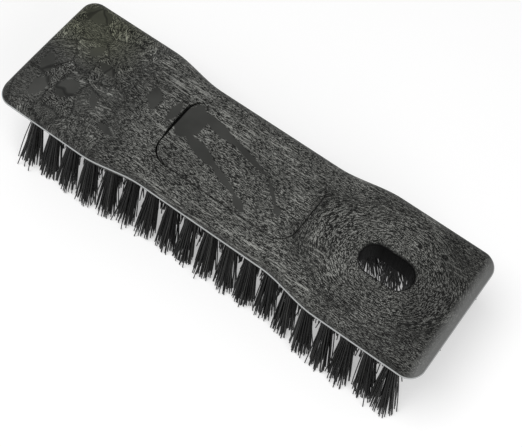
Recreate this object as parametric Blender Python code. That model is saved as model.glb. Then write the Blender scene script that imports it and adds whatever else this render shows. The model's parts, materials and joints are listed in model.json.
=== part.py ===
"""Hand scrub brush for pool walls: a one-piece moulded block with a raised label pad and a
hanging slot, filled with five rows of stiff plastic tufts. Every tuft is folded round a flat
steel anchor and driven into a blind hole in the underside of the block.

Frame: metres, +Z up. The origin is on the ground under the middle of the brush, where the
trimmed bristle ends stand. +X runs along the block towards the hanging slot, -Y is the front.
"""

import math

import bmesh
import bpy
from mathutils import Matrix, Vector

# ---------------------------------------------------------------- driving dimensions
# Block, seen from above.
BLOCK_LENGTH = 0.203
END_WIDTH = 0.0615
WAIST_WIDTH = 0.0540
WAIST_STRAIGHT = 0.0585       # length of the straight middle of the waist
SHOULDER_LENGTH = 0.027       # length of each S-curve from the waist to the wide end
CORNER_RADIUS = 0.0070

# Block, seen from the end. Heights are measured from the parting line, the widest level.
UNDERSIDE_DROP = 0.0060       # parting line down to the flat underside
LOWER_START = math.radians(12)  # slant of the lower half at the parting line, off upright
LOWER_END = math.radians(28)    # the same where it meets the underside
EDGE_RISE = 0.0046            # height of the rounded upper edge
EDGE_INSET = 0.0050           # width of the rounded upper edge
CROWN_RISE = 0.0020           # the top's extra rise across its width
CROWN_END_DROP = 0.0008       # how much lower the top lies at the two ends

# Raised label pad, moulded with the block.
PAD_LENGTH = 0.0654
PAD_WIDTH = 0.0330
PAD_RADIUS = 0.0080
PAD_STEP = 0.0005             # pad face above the highest point of the crown

# Hanging slot.
SLOT_LENGTH = 0.0224
SLOT_WIDTH = 0.0124
SLOT_FROM_END = 0.0333        # slot centre to the end of the block
SLOT_RIM = 0.0010             # bevel round the slot's upper mouth

# Tuft pattern.
ROWS = 5
COLUMNS = 19                  # tufts in the outer rows
END_MARGIN = 0.01465          # last hole centre to the end of the block, on average
FIELD_SHIFT = 0.0026          # how far the pattern lies towards the slot end
OUTER_ROW_INSET = 0.0062      # outer hole centres to the edge of the block
HOLE_DIAMETER = 0.0048
HOLE_DEPTH = 0.0075
HOLE_WALL = 0.0018            # least material between a hole and the slot
OUTER_ROW_LEAN = math.radians(12.3)
END_SPREAD = 0.057            # how much further apart the tips stand along the brush

# Tufts and anchors.
TRIM = 0.032                  # underside of the block to the bristle ends
TIP_GAP = 0.0007              # between the ends of neighbouring single tufts
TIP_OVERLAP = 0.0005          # the same in a joined row, whose tufts run into each other
TIP_DEPTH = 0.0088            # a tuft's depth at its end, across the brush
HALFWAY_FLARE = 0.45          # share of the flare that a tuft has reached halfway down
ANCHOR_THICKNESS = 0.0005
ANCHOR_HEIGHT = 0.0020
ANCHOR_FOLD = 0.0012          # bristle left above the anchor, round the fold
CLEARANCE = 0.0003            # gap between pieces that touch on the real brush
CUTTER_REACH = 0.002          # how far cutters and guides run past the faces they work on

# How finely curves are divided.
SIDES = 8                     # facets round a hole and a tuft
CORNER_STEPS = 5              # strips round a quarter-turn corner
SHOULDER_STEPS = 5            # strips along an S-curve
ACROSS_STEPS = 6              # strips across the top of the block
SLOT_END_STEPS = 8            # strips round each half-turn end of the slot
LOWER_EDGE_STEPS = 3          # strips down the bowed lower half
UPPER_EDGE_ANGLES = (30, 55, 75, 90)  # degrees round the upper edge, up from the parting line

# ---------------------------------------------------------------- derived places
PARTING_Z = TRIM + UNDERSIDE_DROP
UNDERSIDE_Z = TRIM
CROWN_Z = PARTING_Z + EDGE_RISE + CROWN_RISE
PAD_Z = CROWN_Z + PAD_STEP
SLOT_X = BLOCK_LENGTH / 2 - SLOT_FROM_END
TUFT_PITCH = (BLOCK_LENGTH - 2 * END_MARGIN) / (COLUMNS - 1)
TIP_PITCH = TUFT_PITCH * (1 + END_SPREAD)
SINGLE_TIP_WIDTH = TIP_PITCH - TIP_GAP
TUFT_DIAMETER = HOLE_DIAMETER - 2 * CLEARANCE

CHARCOAL = (0.052, 0.056, 0.053)
BRISTLE_BLACK = (0.012, 0.012, 0.013)
GALVANISED = (0.55, 0.55, 0.56)


# ---------------------------------------------------------------- helpers
def clear_scene():
    for item in list(bpy.data.objects):
        bpy.data.objects.remove(item, do_unlink=True)


def make_material(name, colour, roughness, metallic=0.0):
    material = bpy.data.materials.new(name)
    material.use_nodes = True
    shader = material.node_tree.nodes["Principled BSDF"]
    shader.inputs["Base Color"].default_value = (*colour, 1.0)
    shader.inputs["Roughness"].default_value = roughness
    shader.inputs["Metallic"].default_value = metallic
    return material


def add_object(name, mesh, material, parent=None):
    item = bpy.data.objects.new(name, mesh)
    bpy.context.scene.collection.objects.link(item)
    mesh.materials.append(material)
    item.parent = parent
    return item


def finish_mesh(name, builder, sharp_angle=math.radians(35)):
    """Turns a bmesh into mesh data with faces outward and smooth shading up to an angle."""
    bmesh.ops.recalc_face_normals(builder, faces=builder.faces)
    mesh = bpy.data.meshes.new(name)
    builder.to_mesh(mesh)
    builder.free()
    mesh.shade_smooth()
    mesh.set_sharp_from_angle(angle=sharp_angle)
    return mesh


def bridge_rings(builder, lower, upper):
    """Joins two closed rings of vertices that have the same count."""
    count = len(lower)
    for index in range(count):
        following = (index + 1) % count
        builder.faces.new((lower[index], lower[following], upper[following], upper[index]))


def cut_with(target, cutter):
    """Subtracts a hidden cutter from an object by a Boolean modifier that stays live."""
    cutter.hide_render = True
    cutter.display_type = "WIRE"
    modifier = target.modifiers.new("cut by " + cutter.name, "BOOLEAN")
    modifier.operation = "DIFFERENCE"
    modifier.solver = "EXACT"
    modifier.object = cutter


def join_with(target, guide):
    """Unites a hidden guide shape with an object by a live Boolean modifier."""
    guide.hide_render = True
    guide.display_type = "WIRE"
    modifier = target.modifiers.new("joined with " + guide.name, "BOOLEAN")
    modifier.operation = "UNION"
    modifier.solver = "EXACT"
    modifier.object = guide


# ---------------------------------------------------------------- plan shape of the block
def half_width(x):
    """Half the block's width at x, corners left square: straight waist, S-curve, straight end."""
    travel = (abs(x) - WAIST_STRAIGHT / 2) / SHOULDER_LENGTH
    travel = min(max(travel, 0.0), 1.0)
    blend = travel * travel * (3 - 2 * travel)
    return (WAIST_WIDTH + (END_WIDTH - WAIST_WIDTH) * blend) / 2


def side_stations(inset):
    """Points (x, half width) along one long side from the middle out to the end face."""
    radius = CORNER_RADIUS - inset
    centre_x = BLOCK_LENGTH / 2 - CORNER_RADIUS
    centre_y = END_WIDTH / 2 - CORNER_RADIUS
    stations = [0.0]
    for step in range(SHOULDER_STEPS + 1):
        stations.append(WAIST_STRAIGHT / 2 + SHOULDER_LENGTH * step / SHOULDER_STEPS)
    points = [(x, half_width(x) - inset) for x in stations]
    for step in range(CORNER_STEPS + 1):
        angle = math.radians(90) * step / CORNER_STEPS
        points.append((centre_x + radius * math.sin(angle), centre_y + radius * math.cos(angle)))
    return points


def full_side(inset):
    """The stations of a whole long side, from the left end face to the right one."""
    right = side_stations(inset)
    left = [(-x, y) for x, y in reversed(right[1:])]
    return left + right


def outline(inset):
    """Closed outline, counter-clockwise: front side, right end, back side, left end."""
    side = full_side(inset)
    end_x, end_y = side[-1]
    across = [end_y * (2 * step / ACROSS_STEPS - 1) for step in range(1, ACROSS_STEPS)]
    points = [(x, -y) for x, y in side]
    points += [(end_x, y) for y in across]
    points += [(x, y) for x, y in reversed(side)]
    points += [(-end_x, y) for y in reversed(across)]
    return points


def top_height(x, y, edge=1.0):
    """Height of the top above the parting line; edge grows from 0 there to 1 inside the rim."""
    across = abs(y) / half_width(x)
    along = abs(x) / (BLOCK_LENGTH / 2)
    crown = CROWN_RISE * (1 - across ** 3) - CROWN_END_DROP * along ** 2
    return EDGE_RISE * edge + crown * edge ** 2


def grid_face(builder, ring, side_count, height):
    """Fills a closed outline ring with strips that run across the block from side to side."""
    front = ring[:side_count]
    back = list(reversed(ring[side_count + ACROSS_STEPS - 1:2 * side_count + ACROSS_STEPS - 1]))
    right_end = ring[side_count - 1:side_count + ACROSS_STEPS]
    left_end = [ring[0]] + list(reversed(ring[2 * side_count + ACROSS_STEPS - 1:])) + [back[0]]
    rows = [left_end]
    for index in range(1, side_count - 1):
        start = front[index].co
        stop = back[index].co
        row = [front[index]]
        for step in range(1, ACROSS_STEPS):
            place = start.lerp(stop, step / ACROSS_STEPS)
            row.append(builder.verts.new((place.x, place.y, height(place.x, place.y))))
        row.append(back[index])
        rows.append(row)
    rows.append(right_end)
    for left, right in zip(rows, rows[1:]):
        for step in range(ACROSS_STEPS):
            corners = (left[step], right[step], right[step + 1], left[step + 1])
            builder.faces.new(corners)


def block_mesh():
    """Solid block: bowed lower half, rounded upper edge, crowned top, flat underside."""
    builder = bmesh.new()
    rings = []
    bow_radius = UNDERSIDE_DROP / (math.sin(LOWER_END) - math.sin(LOWER_START))
    for step in range(LOWER_EDGE_STEPS + 1):
        slant = LOWER_END + (LOWER_START - LOWER_END) * step / LOWER_EDGE_STEPS
        points = outline(bow_radius * (math.cos(LOWER_START) - math.cos(slant)))
        height = PARTING_Z - bow_radius * (math.sin(slant) - math.sin(LOWER_START))
        rings.append([builder.verts.new((x, y, height)) for x, y in points])
    for degrees in UPPER_EDGE_ANGLES:
        angle = math.radians(degrees)
        points = outline(EDGE_INSET * (1 - math.cos(angle)))
        edge = math.sin(angle)
        rings.append([
            builder.verts.new((x, y, PARTING_Z + top_height(x, y, edge))) for x, y in points
        ])
    for lower, upper in zip(rings, rings[1:]):
        bridge_rings(builder, lower, upper)
    side_count = len(full_side(0.0))
    grid_face(builder, rings[-1], side_count, lambda x, y: PARTING_Z + top_height(x, y))
    builder.faces.new(rings[0])
    return finish_mesh("brush_block", builder)


def prism_mesh(name, levels):
    """Closed solid through a stack of rings; each level is (list of x, y points, height)."""
    builder = bmesh.new()
    rings = []
    for points, height in levels:
        rings.append([builder.verts.new((x, y, height)) for x, y in points])
    for lower, upper in zip(rings, rings[1:]):
        bridge_rings(builder, lower, upper)
    builder.faces.new(rings[0])
    builder.faces.new(rings[-1])
    return finish_mesh(name, builder)


def rounded_rectangle(length, width, radius, steps):
    """Counter-clockwise rounded rectangle about the origin."""
    points = []
    for quarter in range(4):
        turn = math.radians(90) * quarter
        centre = Vector((length / 2 - radius, width / 2 - radius))
        sign_x = 1 if quarter in (0, 3) else -1
        sign_y = 1 if quarter in (0, 1) else -1
        for step in range(steps + 1):
            angle = turn + math.radians(90) * step / steps
            x = sign_x * centre.x + radius * math.cos(angle)
            y = sign_y * centre.y + radius * math.sin(angle)
            points.append((x, y))
    return points


def slot_outline(grow):
    """Outline of the hanging slot, a strip with round ends, grown by a margin all round."""
    points = []
    radius = SLOT_WIDTH / 2 + grow
    reach = (SLOT_LENGTH - SLOT_WIDTH) / 2
    for step in range(SLOT_END_STEPS + 1):
        angle = math.radians(-90) + math.radians(180) * step / SLOT_END_STEPS
        points.append((SLOT_X + reach + radius * math.cos(angle), radius * math.sin(angle)))
    for step in range(SLOT_END_STEPS + 1):
        angle = math.radians(90) + math.radians(180) * step / SLOT_END_STEPS
        points.append((SLOT_X - reach + radius * math.cos(angle), radius * math.sin(angle)))
    return points


def build_block(material):
    block = add_object("brush_block", block_mesh(), material)
    pad_points = rounded_rectangle(PAD_LENGTH, PAD_WIDTH, PAD_RADIUS, CORNER_STEPS)
    pad_root = PAD_Z - PAD_STEP - CUTTER_REACH
    pad = add_object(
        "pad_guide", prism_mesh("pad_guide", [(pad_points, pad_root), (pad_points, PAD_Z)]), material
    )
    join_with(block, pad)

    mouth_z = PARTING_Z + top_height(SLOT_X, 0.0)
    levels = [
        (slot_outline(0.0), UNDERSIDE_Z - CUTTER_REACH),
        (slot_outline(0.0), mouth_z - SLOT_RIM),
        (slot_outline(SLOT_RIM + CUTTER_REACH), mouth_z + CUTTER_REACH),
    ]
    cut_with(block, add_object("slot_cutter", prism_mesh("slot_cutter", levels), material))
    cut_with(block, add_object("hole_cutter", hole_cutter_mesh(), material))
    return block


# ---------------------------------------------------------------- tuft pattern
def row_share(row):
    """Place of a row across the brush: -1 is the front row, 0 the middle, 1 the back row."""
    return 2 * row / (ROWS - 1) - 1


def slot_blocks(x, y):
    """True where a hole would come too near the hanging slot."""
    reach = (SLOT_LENGTH - SLOT_WIDTH) / 2
    beyond = max(abs(x - SLOT_X) - reach, 0.0)
    distance = math.hypot(beyond, y) - SLOT_WIDTH / 2
    return distance < HOLE_DIAMETER / 2 + HOLE_WALL


def row_tufts(row):
    """Mouth points (x, y) of one row's holes; the row follows the waisted side of the block."""
    staggered = row % 2 == 1
    count = COLUMNS - 1 if staggered else COLUMNS
    places = []
    for column in range(count):
        x = FIELD_SHIFT + (column - (count - 1) / 2) * TUFT_PITCH
        y = row_share(row) * (half_width(x) - OUTER_ROW_INSET)
        if not slot_blocks(x, y):
            places.append((x, y))
    return places


def tuft_direction(x, row):
    """Slope of a tuft: how far it runs along X and Y for each metre that it rises."""
    along = -END_SPREAD * x / TRIM
    across = -math.tan(OUTER_ROW_LEAN * row_share(row))
    return along, across


def tuft_ring(x, y, row, height, width, depth):
    """Level ring of points round a tuft's centre line; width and depth are across its flats."""
    along, across = tuft_direction(x, row)
    rise = height - UNDERSIDE_Z
    centre_x = x + along * rise
    centre_y = y + across * rise
    corner = 1 / math.cos(math.pi / SIDES)
    ring = []
    for side in range(SIDES):
        angle = math.tau * (side + 0.5) / SIDES
        ring.append((
            centre_x + corner * width / 2 * math.cos(angle),
            centre_y + corner * depth / 2 * math.sin(angle),
            height,
        ))
    return ring


def add_stack(builder, levels):
    """Adds one closed shell through rings of points, from the lowest to the highest."""
    rings = [[builder.verts.new(point) for point in ring] for ring in levels]
    for lower, upper in zip(rings, rings[1:]):
        bridge_rings(builder, lower, upper)
    builder.faces.new(rings[0])
    builder.faces.new(rings[-1])


def hole_cutter_mesh():
    """All blind tuft holes as one set of slanted pegs that reach out below the underside."""
    builder = bmesh.new()
    below = UNDERSIDE_Z - CUTTER_REACH
    for row in range(ROWS):
        for x, y in row_tufts(row):
            size = HOLE_DIAMETER
            mouth = tuft_ring(x, y, row, below, size, size)
            bottom = tuft_ring(x, y, row, UNDERSIDE_Z + HOLE_DEPTH, size, size)
            add_stack(builder, [mouth, bottom])
    return finish_mesh("hole_cutter", builder)


def tuft_levels(x, y, row, tip_width):
    """Rings of a tuft from its trimmed flat end up to the fold at the bottom of its hole."""
    root = TUFT_DIAMETER
    flare_z = UNDERSIDE_Z - CLEARANCE
    middle_width = root + (tip_width - root) * HALFWAY_FLARE
    middle_depth = root + (TIP_DEPTH - root) * HALFWAY_FLARE
    return [
        tuft_ring(x, y, row, 0.0, tip_width, TIP_DEPTH),
        tuft_ring(x, y, row, TRIM / 2, middle_width, middle_depth),
        tuft_ring(x, y, row, flare_z, root, root),
        tuft_ring(x, y, row, UNDERSIDE_Z + HOLE_DEPTH - CLEARANCE, root, root),
    ]


def tufts_mesh(name, row, places, tip_width):
    builder = bmesh.new()
    for x, y in places:
        add_stack(builder, tuft_levels(x, y, row, tip_width))
    return finish_mesh(name, builder)


def anchor_matrix(x, y, row):
    """Place and slant of an anchor: across the fold near the bottom of the tuft's hole."""
    along, across = tuft_direction(x, row)
    upward = Vector((along, across, 1.0)).normalized()
    sideways = Vector((1.0, 0.0, -along)).normalized()
    forward = upward.cross(sideways).normalized()
    height = HOLE_DEPTH - CLEARANCE - ANCHOR_FOLD - CLEARANCE - ANCHOR_HEIGHT / 2
    centre = Vector((x + along * height, y + across * height, UNDERSIDE_Z + height))
    rotation = Matrix((sideways, forward, upward)).transposed()
    return Matrix.Translation(centre) @ rotation.to_4x4()


def box_mesh(name, size):
    builder = bmesh.new()
    bmesh.ops.create_cube(builder, size=1.0, matrix=Matrix.Diagonal((*size, 1.0)))
    return finish_mesh(name, builder)


def build_anchored_tuft(label, x, y, row, bristle, steel, parent):
    """One tuft with its own anchor, which passes through the fold of the tuft."""
    tuft = add_object(
        label + "_tuft", tufts_mesh(label + "_tuft", row, [(x, y)], SINGLE_TIP_WIDTH), bristle, parent
    )
    place = anchor_matrix(x, y, row)
    anchor_size = (TUFT_DIAMETER, ANCHOR_THICKNESS, ANCHOR_HEIGHT)
    anchor = add_object(label + "_anchor", box_mesh(label + "_anchor", anchor_size), steel, parent)
    anchor.matrix_world = place
    gap_size = (
        TUFT_DIAMETER + 2 * CUTTER_REACH,
        ANCHOR_THICKNESS + 2 * CLEARANCE,
        ANCHOR_HEIGHT + 2 * CLEARANCE,
    )
    fold_name = label + "_fold_cutter"
    fold = add_object(fold_name, box_mesh(fold_name, gap_size), bristle, parent)
    fold.matrix_world = place
    cut_with(tuft, fold)


def joined_tip_width(places):
    """Tip width at which each tuft runs into the next, also where the row bends sideways."""
    steps = [abs(following[1] - place[1]) for place, following in zip(places, places[1:])]
    sideways = max(steps) / TIP_DEPTH
    facet = math.tau / SIDES
    reach = min(1.0, (1 - sideways * math.sin(facet)) / math.cos(facet))
    return TIP_PITCH / reach + TIP_OVERLAP


def build_joined_row(label, row, places, bristle, parent):
    """A row of tufts whose bristles run into each other: odd and even tufts, made one solid."""
    tip_width = joined_tip_width(places)
    odd = tufts_mesh(label, row, places[0::2], tip_width)
    tufts = add_object(label, odd, bristle, parent)
    even_name = label + "_even_guide"
    even = tufts_mesh(even_name, row, places[1::2], tip_width)
    join_with(tufts, add_object(even_name, even, bristle, parent))


# ---------------------------------------------------------------- assembly
def main():
    clear_scene()
    charcoal = make_material("charcoal_moulded_plastic", CHARCOAL, 0.62)
    bristle = make_material("black_bristle", BRISTLE_BLACK, 0.42)
    steel = make_material("galvanised_anchor_wire", GALVANISED, 0.35, 1.0)

    frame = bpy.data.objects.new("brush_frame", None)
    bpy.context.scene.collection.objects.link(frame)
    block = build_block(charcoal)
    block.parent = frame

    for number, (x, y) in enumerate(row_tufts(0), start=1):
        build_anchored_tuft(f"front_{number:02d}", x, y, 0, bristle, steel, frame)

    middle_row = ROWS // 2
    inner_names = {1: "second_row_tufts", 3: "fourth_row_tufts", 4: "back_row_tufts"}
    for row, label in inner_names.items():
        build_joined_row(label, row, row_tufts(row), bristle, frame)
    middle = row_tufts(middle_row)
    handle_side = [place for place in middle if place[0] < SLOT_X]
    slot_side = [place for place in middle if place[0] > SLOT_X]
    build_joined_row("middle_row_tufts", middle_row, handle_side, bristle, frame)
    for number, (x, y) in enumerate(slot_side, start=1):
        build_anchored_tuft(f"slot_end_{number}", x, y, middle_row, bristle, steel, frame)


main()
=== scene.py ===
# %% [markdown]
# # A pool wall brush
#
# This is a hand brush for scrubbing a pool's wall and tile line. It has three kinds of piece:
# one moulded block of charcoal foamed plastic, ninety tufts of stiff black bristle, and
# a small galvanised anchor inside the root of every tuft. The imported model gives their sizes
# and places. This lesson builds the looks round it: a finely shaped block, bristles made as
# single strands folded round their anchors, and a procedural finish for each material.

import json
import math

import bmesh
import bpy
from mathutils import Matrix, Vector

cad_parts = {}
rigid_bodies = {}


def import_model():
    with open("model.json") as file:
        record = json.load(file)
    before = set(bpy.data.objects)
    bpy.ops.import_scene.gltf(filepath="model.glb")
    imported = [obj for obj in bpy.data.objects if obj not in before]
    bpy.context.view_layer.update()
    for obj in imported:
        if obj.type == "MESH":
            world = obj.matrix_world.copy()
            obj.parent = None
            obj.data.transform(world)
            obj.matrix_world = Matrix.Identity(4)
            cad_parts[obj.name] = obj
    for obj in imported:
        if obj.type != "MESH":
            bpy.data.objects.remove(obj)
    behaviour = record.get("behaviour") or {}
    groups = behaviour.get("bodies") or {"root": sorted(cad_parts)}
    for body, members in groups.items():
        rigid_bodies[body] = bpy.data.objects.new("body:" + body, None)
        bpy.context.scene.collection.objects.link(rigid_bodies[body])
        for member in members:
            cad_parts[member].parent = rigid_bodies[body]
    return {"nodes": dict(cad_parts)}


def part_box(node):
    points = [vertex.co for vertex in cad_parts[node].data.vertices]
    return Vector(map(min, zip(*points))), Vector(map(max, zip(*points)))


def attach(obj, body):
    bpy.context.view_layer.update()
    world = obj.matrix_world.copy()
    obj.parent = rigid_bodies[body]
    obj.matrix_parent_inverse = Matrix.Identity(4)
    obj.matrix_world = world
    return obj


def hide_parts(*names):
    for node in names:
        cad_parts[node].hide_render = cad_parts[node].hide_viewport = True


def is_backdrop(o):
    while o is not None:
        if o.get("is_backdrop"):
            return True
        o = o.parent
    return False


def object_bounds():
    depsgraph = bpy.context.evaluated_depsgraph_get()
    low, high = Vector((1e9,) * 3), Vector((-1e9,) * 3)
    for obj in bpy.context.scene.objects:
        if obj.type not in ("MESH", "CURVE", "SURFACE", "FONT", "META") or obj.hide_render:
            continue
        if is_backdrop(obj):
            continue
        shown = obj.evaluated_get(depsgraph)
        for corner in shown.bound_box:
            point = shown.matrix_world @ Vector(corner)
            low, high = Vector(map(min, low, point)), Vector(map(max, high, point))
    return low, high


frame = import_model()
model_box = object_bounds()
model_size = model_box[1] - model_box[0]
print("packed model, mm:", [round(side * 1000, 1) for side in model_size])

# %% [markdown]
# The block's box gives its length, its width at the wide ends, and the heights of the underside
# and of the label pad. Whatever a box can't tell, such as the waist, is named here in metres.
# Heights on the block are measured from its parting line, the level where it is widest and
# where the two halves of its mould met.

# %% Measure the block
block_low, block_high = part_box("brush_block")
BLOCK_LENGTH = block_high.x - block_low.x
END_WIDTH = block_high.y - block_low.y
UNDERSIDE_Z = block_low.z
PAD_Z = block_high.z

UNDERSIDE_DROP = 0.0060      # parting line down to the flat underside
LOWER_START = math.radians(12)   # slant of the lower half at the parting line, off upright
LOWER_END = math.radians(28)     # the same where it meets the underside
EDGE_RISE = 0.0046           # height of the rounded upper edge
EDGE_INSET = 0.0050          # width of the rounded upper edge
CROWN_RISE = 0.0020          # extra height of the middle of the top
CROWN_END_DROP = 0.0008      # how much lower the top lies at the two ends
PARTING_Z = UNDERSIDE_Z + UNDERSIDE_DROP
print("block, mm:", round(BLOCK_LENGTH * 1000, 1), "x", round(END_WIDTH * 1000, 1))

# %% [markdown]
# Seen from above the block is waisted, so that it can be held. Each long side is straight along
# the waist, runs out on an S-curve, and is straight again along the wide end. A smoothstep curve
# has that shape, because it leaves and arrives level.

# %% Plan shape of the block
WAIST_WIDTH = 0.0540
WAIST_STRAIGHT = 0.0585
SHOULDER_LENGTH = 0.027
CORNER_RADIUS = 0.0070


def limited(value):
    return min(max(value, 0.0), 1.0)


def half_width(x):
    """Half the block's width at x, with its corners left square."""
    travel = limited((abs(x) - WAIST_STRAIGHT / 2) / SHOULDER_LENGTH)
    blend = travel * travel * (3 - 2 * travel)
    return (WAIST_WIDTH + (END_WIDTH - WAIST_WIDTH) * blend) / 2


def top_height(x, y, edge=1.0):
    """Height of the top above the parting line; edge grows from 0 there to 1 inside the rim."""
    across = abs(y) / half_width(x)
    along = abs(x) / (BLOCK_LENGTH / 2)
    crown = CROWN_RISE * (1 - across ** 3) - CROWN_END_DROP * along ** 2
    return EDGE_RISE * edge + crown * edge ** 2


print("half width at the waist and at the end, mm:",
      round(half_width(0) * 1000, 2), round(half_width(BLOCK_LENGTH / 2) * 1000, 2))

# %% [markdown]
# An outline is a closed ring of points round the block, drawn in by some inset. The stations
# along a side lie closer on the S-curves and the corners than on the straights, so the curves
# stay smooth without spending points where nothing bends.

# %% Outline of the block at any inset
STRAIGHT_STEPS = 9
SHOULDER_STEPS = 14
END_STEPS = 5
CORNER_STEPS = 12
ACROSS_STEPS = 26


def spaced(start, stop, steps):
    return [start + (stop - start) * step / steps for step in range(1, steps + 1)]


def half_side(inset):
    """Points (x, half width) along a long side, from the middle out to the end face."""
    shoulder_start = WAIST_STRAIGHT / 2
    shoulder_stop = shoulder_start + SHOULDER_LENGTH
    corner_start = BLOCK_LENGTH / 2 - CORNER_RADIUS
    stations = [0.0]
    stations += spaced(0.0, shoulder_start, STRAIGHT_STEPS)
    stations += spaced(shoulder_start, shoulder_stop, SHOULDER_STEPS)
    stations += spaced(shoulder_stop, corner_start, END_STEPS)
    points = [(x, half_width(x) - inset) for x in stations]
    radius = CORNER_RADIUS - inset
    corner_y = END_WIDTH / 2 - CORNER_RADIUS
    for turn in spaced(0.0, math.pi / 2, CORNER_STEPS):
        points.append((corner_start + radius * math.sin(turn), corner_y + radius * math.cos(turn)))
    return points


def whole_side(inset):
    right = half_side(inset)
    return [(-x, y) for x, y in reversed(right[1:])] + right


def outline(inset):
    """Counter-clockwise ring: front side, right end, back side, left end."""
    side = whole_side(inset)
    end_x, end_y = side[-1]
    across = spaced(-end_y, end_y, ACROSS_STEPS)[:-1]
    ring = [(x, -y) for x, y in side]
    ring += [(end_x, y) for y in across]
    ring += [(x, y) for x, y in reversed(side)]
    ring += [(-end_x, y) for y in reversed(across)]
    return ring


print("points round the block:", len(outline(0.0)))

# %% [markdown]
# The body of the block is a stack of such rings. Below the parting line they follow a shallow bow
# in to the flat underside, and above it a quarter of an ellipse up to the top. Where the halves
# of the mould met they left a thin rib, the flash, which runs right round the widest level.
# Between the two long sides the top is filled with strips, so that it can be crowned: a real
# moulding like this is a little fuller in the middle, which shows as a soft change of light.

# %% Body of the block
LOWER_EDGE_STEPS = 8
UPPER_EDGE_STEPS = 12
UPPER_EDGE_START = math.radians(8)   # the ellipse begins just above the rib
FLASH_REACH = 0.00030        # how far the rib stands out from the faces above and below it
FLASH_HALF = 0.00020         # half the rib's height
FLASH_SLOPE = 0.00008        # height over which its upper and lower faces slope back


def bridge(builder, lower, upper):
    """Walls between two closed rings that have the same number of vertices."""
    count = len(lower)
    for index in range(count):
        after = (index + 1) % count
        builder.faces.new((lower[index], lower[after], upper[after], upper[index]))


def ring_of(builder, points, height_at):
    return [builder.verts.new((x, y, height_at(x, y))) for x, y in points]


def fill_top(builder, ring, side_count):
    """Strips across the top, from the front side's vertices to the back side's."""
    first_back = side_count + ACROSS_STEPS - 1
    front = ring[:side_count]
    back = ring[first_back:first_back + side_count][::-1]
    right_end = ring[side_count - 1:side_count + ACROSS_STEPS]
    left_end = [ring[0]] + ring[first_back + side_count:][::-1] + [back[0]]
    rows = [left_end]
    for near, far in zip(front[1:-1], back[1:-1]):
        row = [near]
        for step in range(1, ACROSS_STEPS):
            place = near.co.lerp(far.co, step / ACROSS_STEPS)
            height = PARTING_Z + top_height(place.x, place.y)
            row.append(builder.verts.new((place.x, place.y, height)))
        rows.append(row + [far])
    rows.append(right_end)
    for left, right in zip(rows, rows[1:]):
        for step in range(ACROSS_STEPS):
            builder.faces.new((left[step], right[step], right[step + 1], left[step + 1]))


def block_body():
    builder = bmesh.new()
    rings = []
    bow_radius = UNDERSIDE_DROP / (math.sin(LOWER_END) - math.sin(LOWER_START))
    underside_inset = bow_radius * (math.cos(LOWER_START) - math.cos(LOWER_END))
    narrowed = 1 - FLASH_REACH / underside_inset
    for slant in [LOWER_END] + spaced(LOWER_END, LOWER_START, LOWER_EDGE_STEPS)[:-1]:
        height = PARTING_Z - bow_radius * (math.sin(slant) - math.sin(LOWER_START))
        bowed = bow_radius * (math.cos(LOWER_START) - math.cos(slant))
        points = outline(FLASH_REACH + bowed * narrowed)
        rings.append(ring_of(builder, points, lambda x, y: height))
    for inset, rise in (
        (FLASH_REACH, -FLASH_HALF - FLASH_SLOPE), (0.0, -FLASH_HALF),
        (0.0, FLASH_HALF), (FLASH_REACH, FLASH_HALF + FLASH_SLOPE),
    ):
        rings.append(ring_of(builder, outline(inset), lambda x, y: PARTING_Z + rise))
    for turn in spaced(UPPER_EDGE_START, math.pi / 2, UPPER_EDGE_STEPS):
        edge = math.sin(turn)
        points = outline(FLASH_REACH + (EDGE_INSET - FLASH_REACH) * (1 - math.cos(turn)))
        rings.append(ring_of(builder, points, lambda x, y: PARTING_Z + top_height(x, y, edge)))
    for lower, upper in zip(rings, rings[1:]):
        bridge(builder, lower, upper)
    fill_top(builder, rings[-1], len(whole_side(0.0)))
    builder.faces.new(rings[0])
    return builder


def to_object(builder, name):
    """Turns a bmesh into an object whose faces point outwards."""
    bmesh.ops.recalc_face_normals(builder, faces=builder.faces)
    mesh = bpy.data.meshes.new(name)
    builder.to_mesh(mesh)
    builder.free()
    made = bpy.data.objects.new(name, mesh)
    bpy.context.scene.collection.objects.link(made)
    return made


block = to_object(block_body(), "foamed_block")
print("block body:", len(block.data.polygons), "faces")

# %% [markdown]
# The label pad stands a little proud of the crown, and a narrow gap runs round it where the
# mould's insert sat. The gap is widest at the left end and closes to a hairline along the back.
# Both are made by Boolean modifiers: a wide shallow pocket is cut first, and the pad, a prism
# with a rounded top edge, is then joined into it. What is left between them is the gap.

# %% Label pad and the gap round it
PAD_LENGTH = 0.0654
PAD_WIDTH = 0.0330
PAD_RADIUS = 0.0080
PAD_EDGE = 0.00045           # radius of the pad's upper edge
PAD_DEPTH = 0.0036           # how far the prism reaches into the block
GAP_FLOOR = 0.0026           # depth of the gap's floor below the pad's face
GAP_LEFT = 0.00160
GAP_RIGHT = 0.00030
GAP_FRONT = 0.00028
GAP_BACK = 0.00010
GAP_WIDE_FROM = -0.002       # the left gap is at its widest from here to the back
GAP_NARROW_AT = -0.008       # and at its narrowest here
GAP_NARROWEST = 0.35         # what is left of it there, as a share
GAP_CORNER_FROM = -0.010     # where it opens again towards the front corner
GAP_CORNER_LENGTH = 0.003
GAP_CORNER_SHARE = 0.35
PAD_CORNER_STEPS = 14
PAD_SIDE_STEPS = 12
ROUNDING_STEPS = 4


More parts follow.
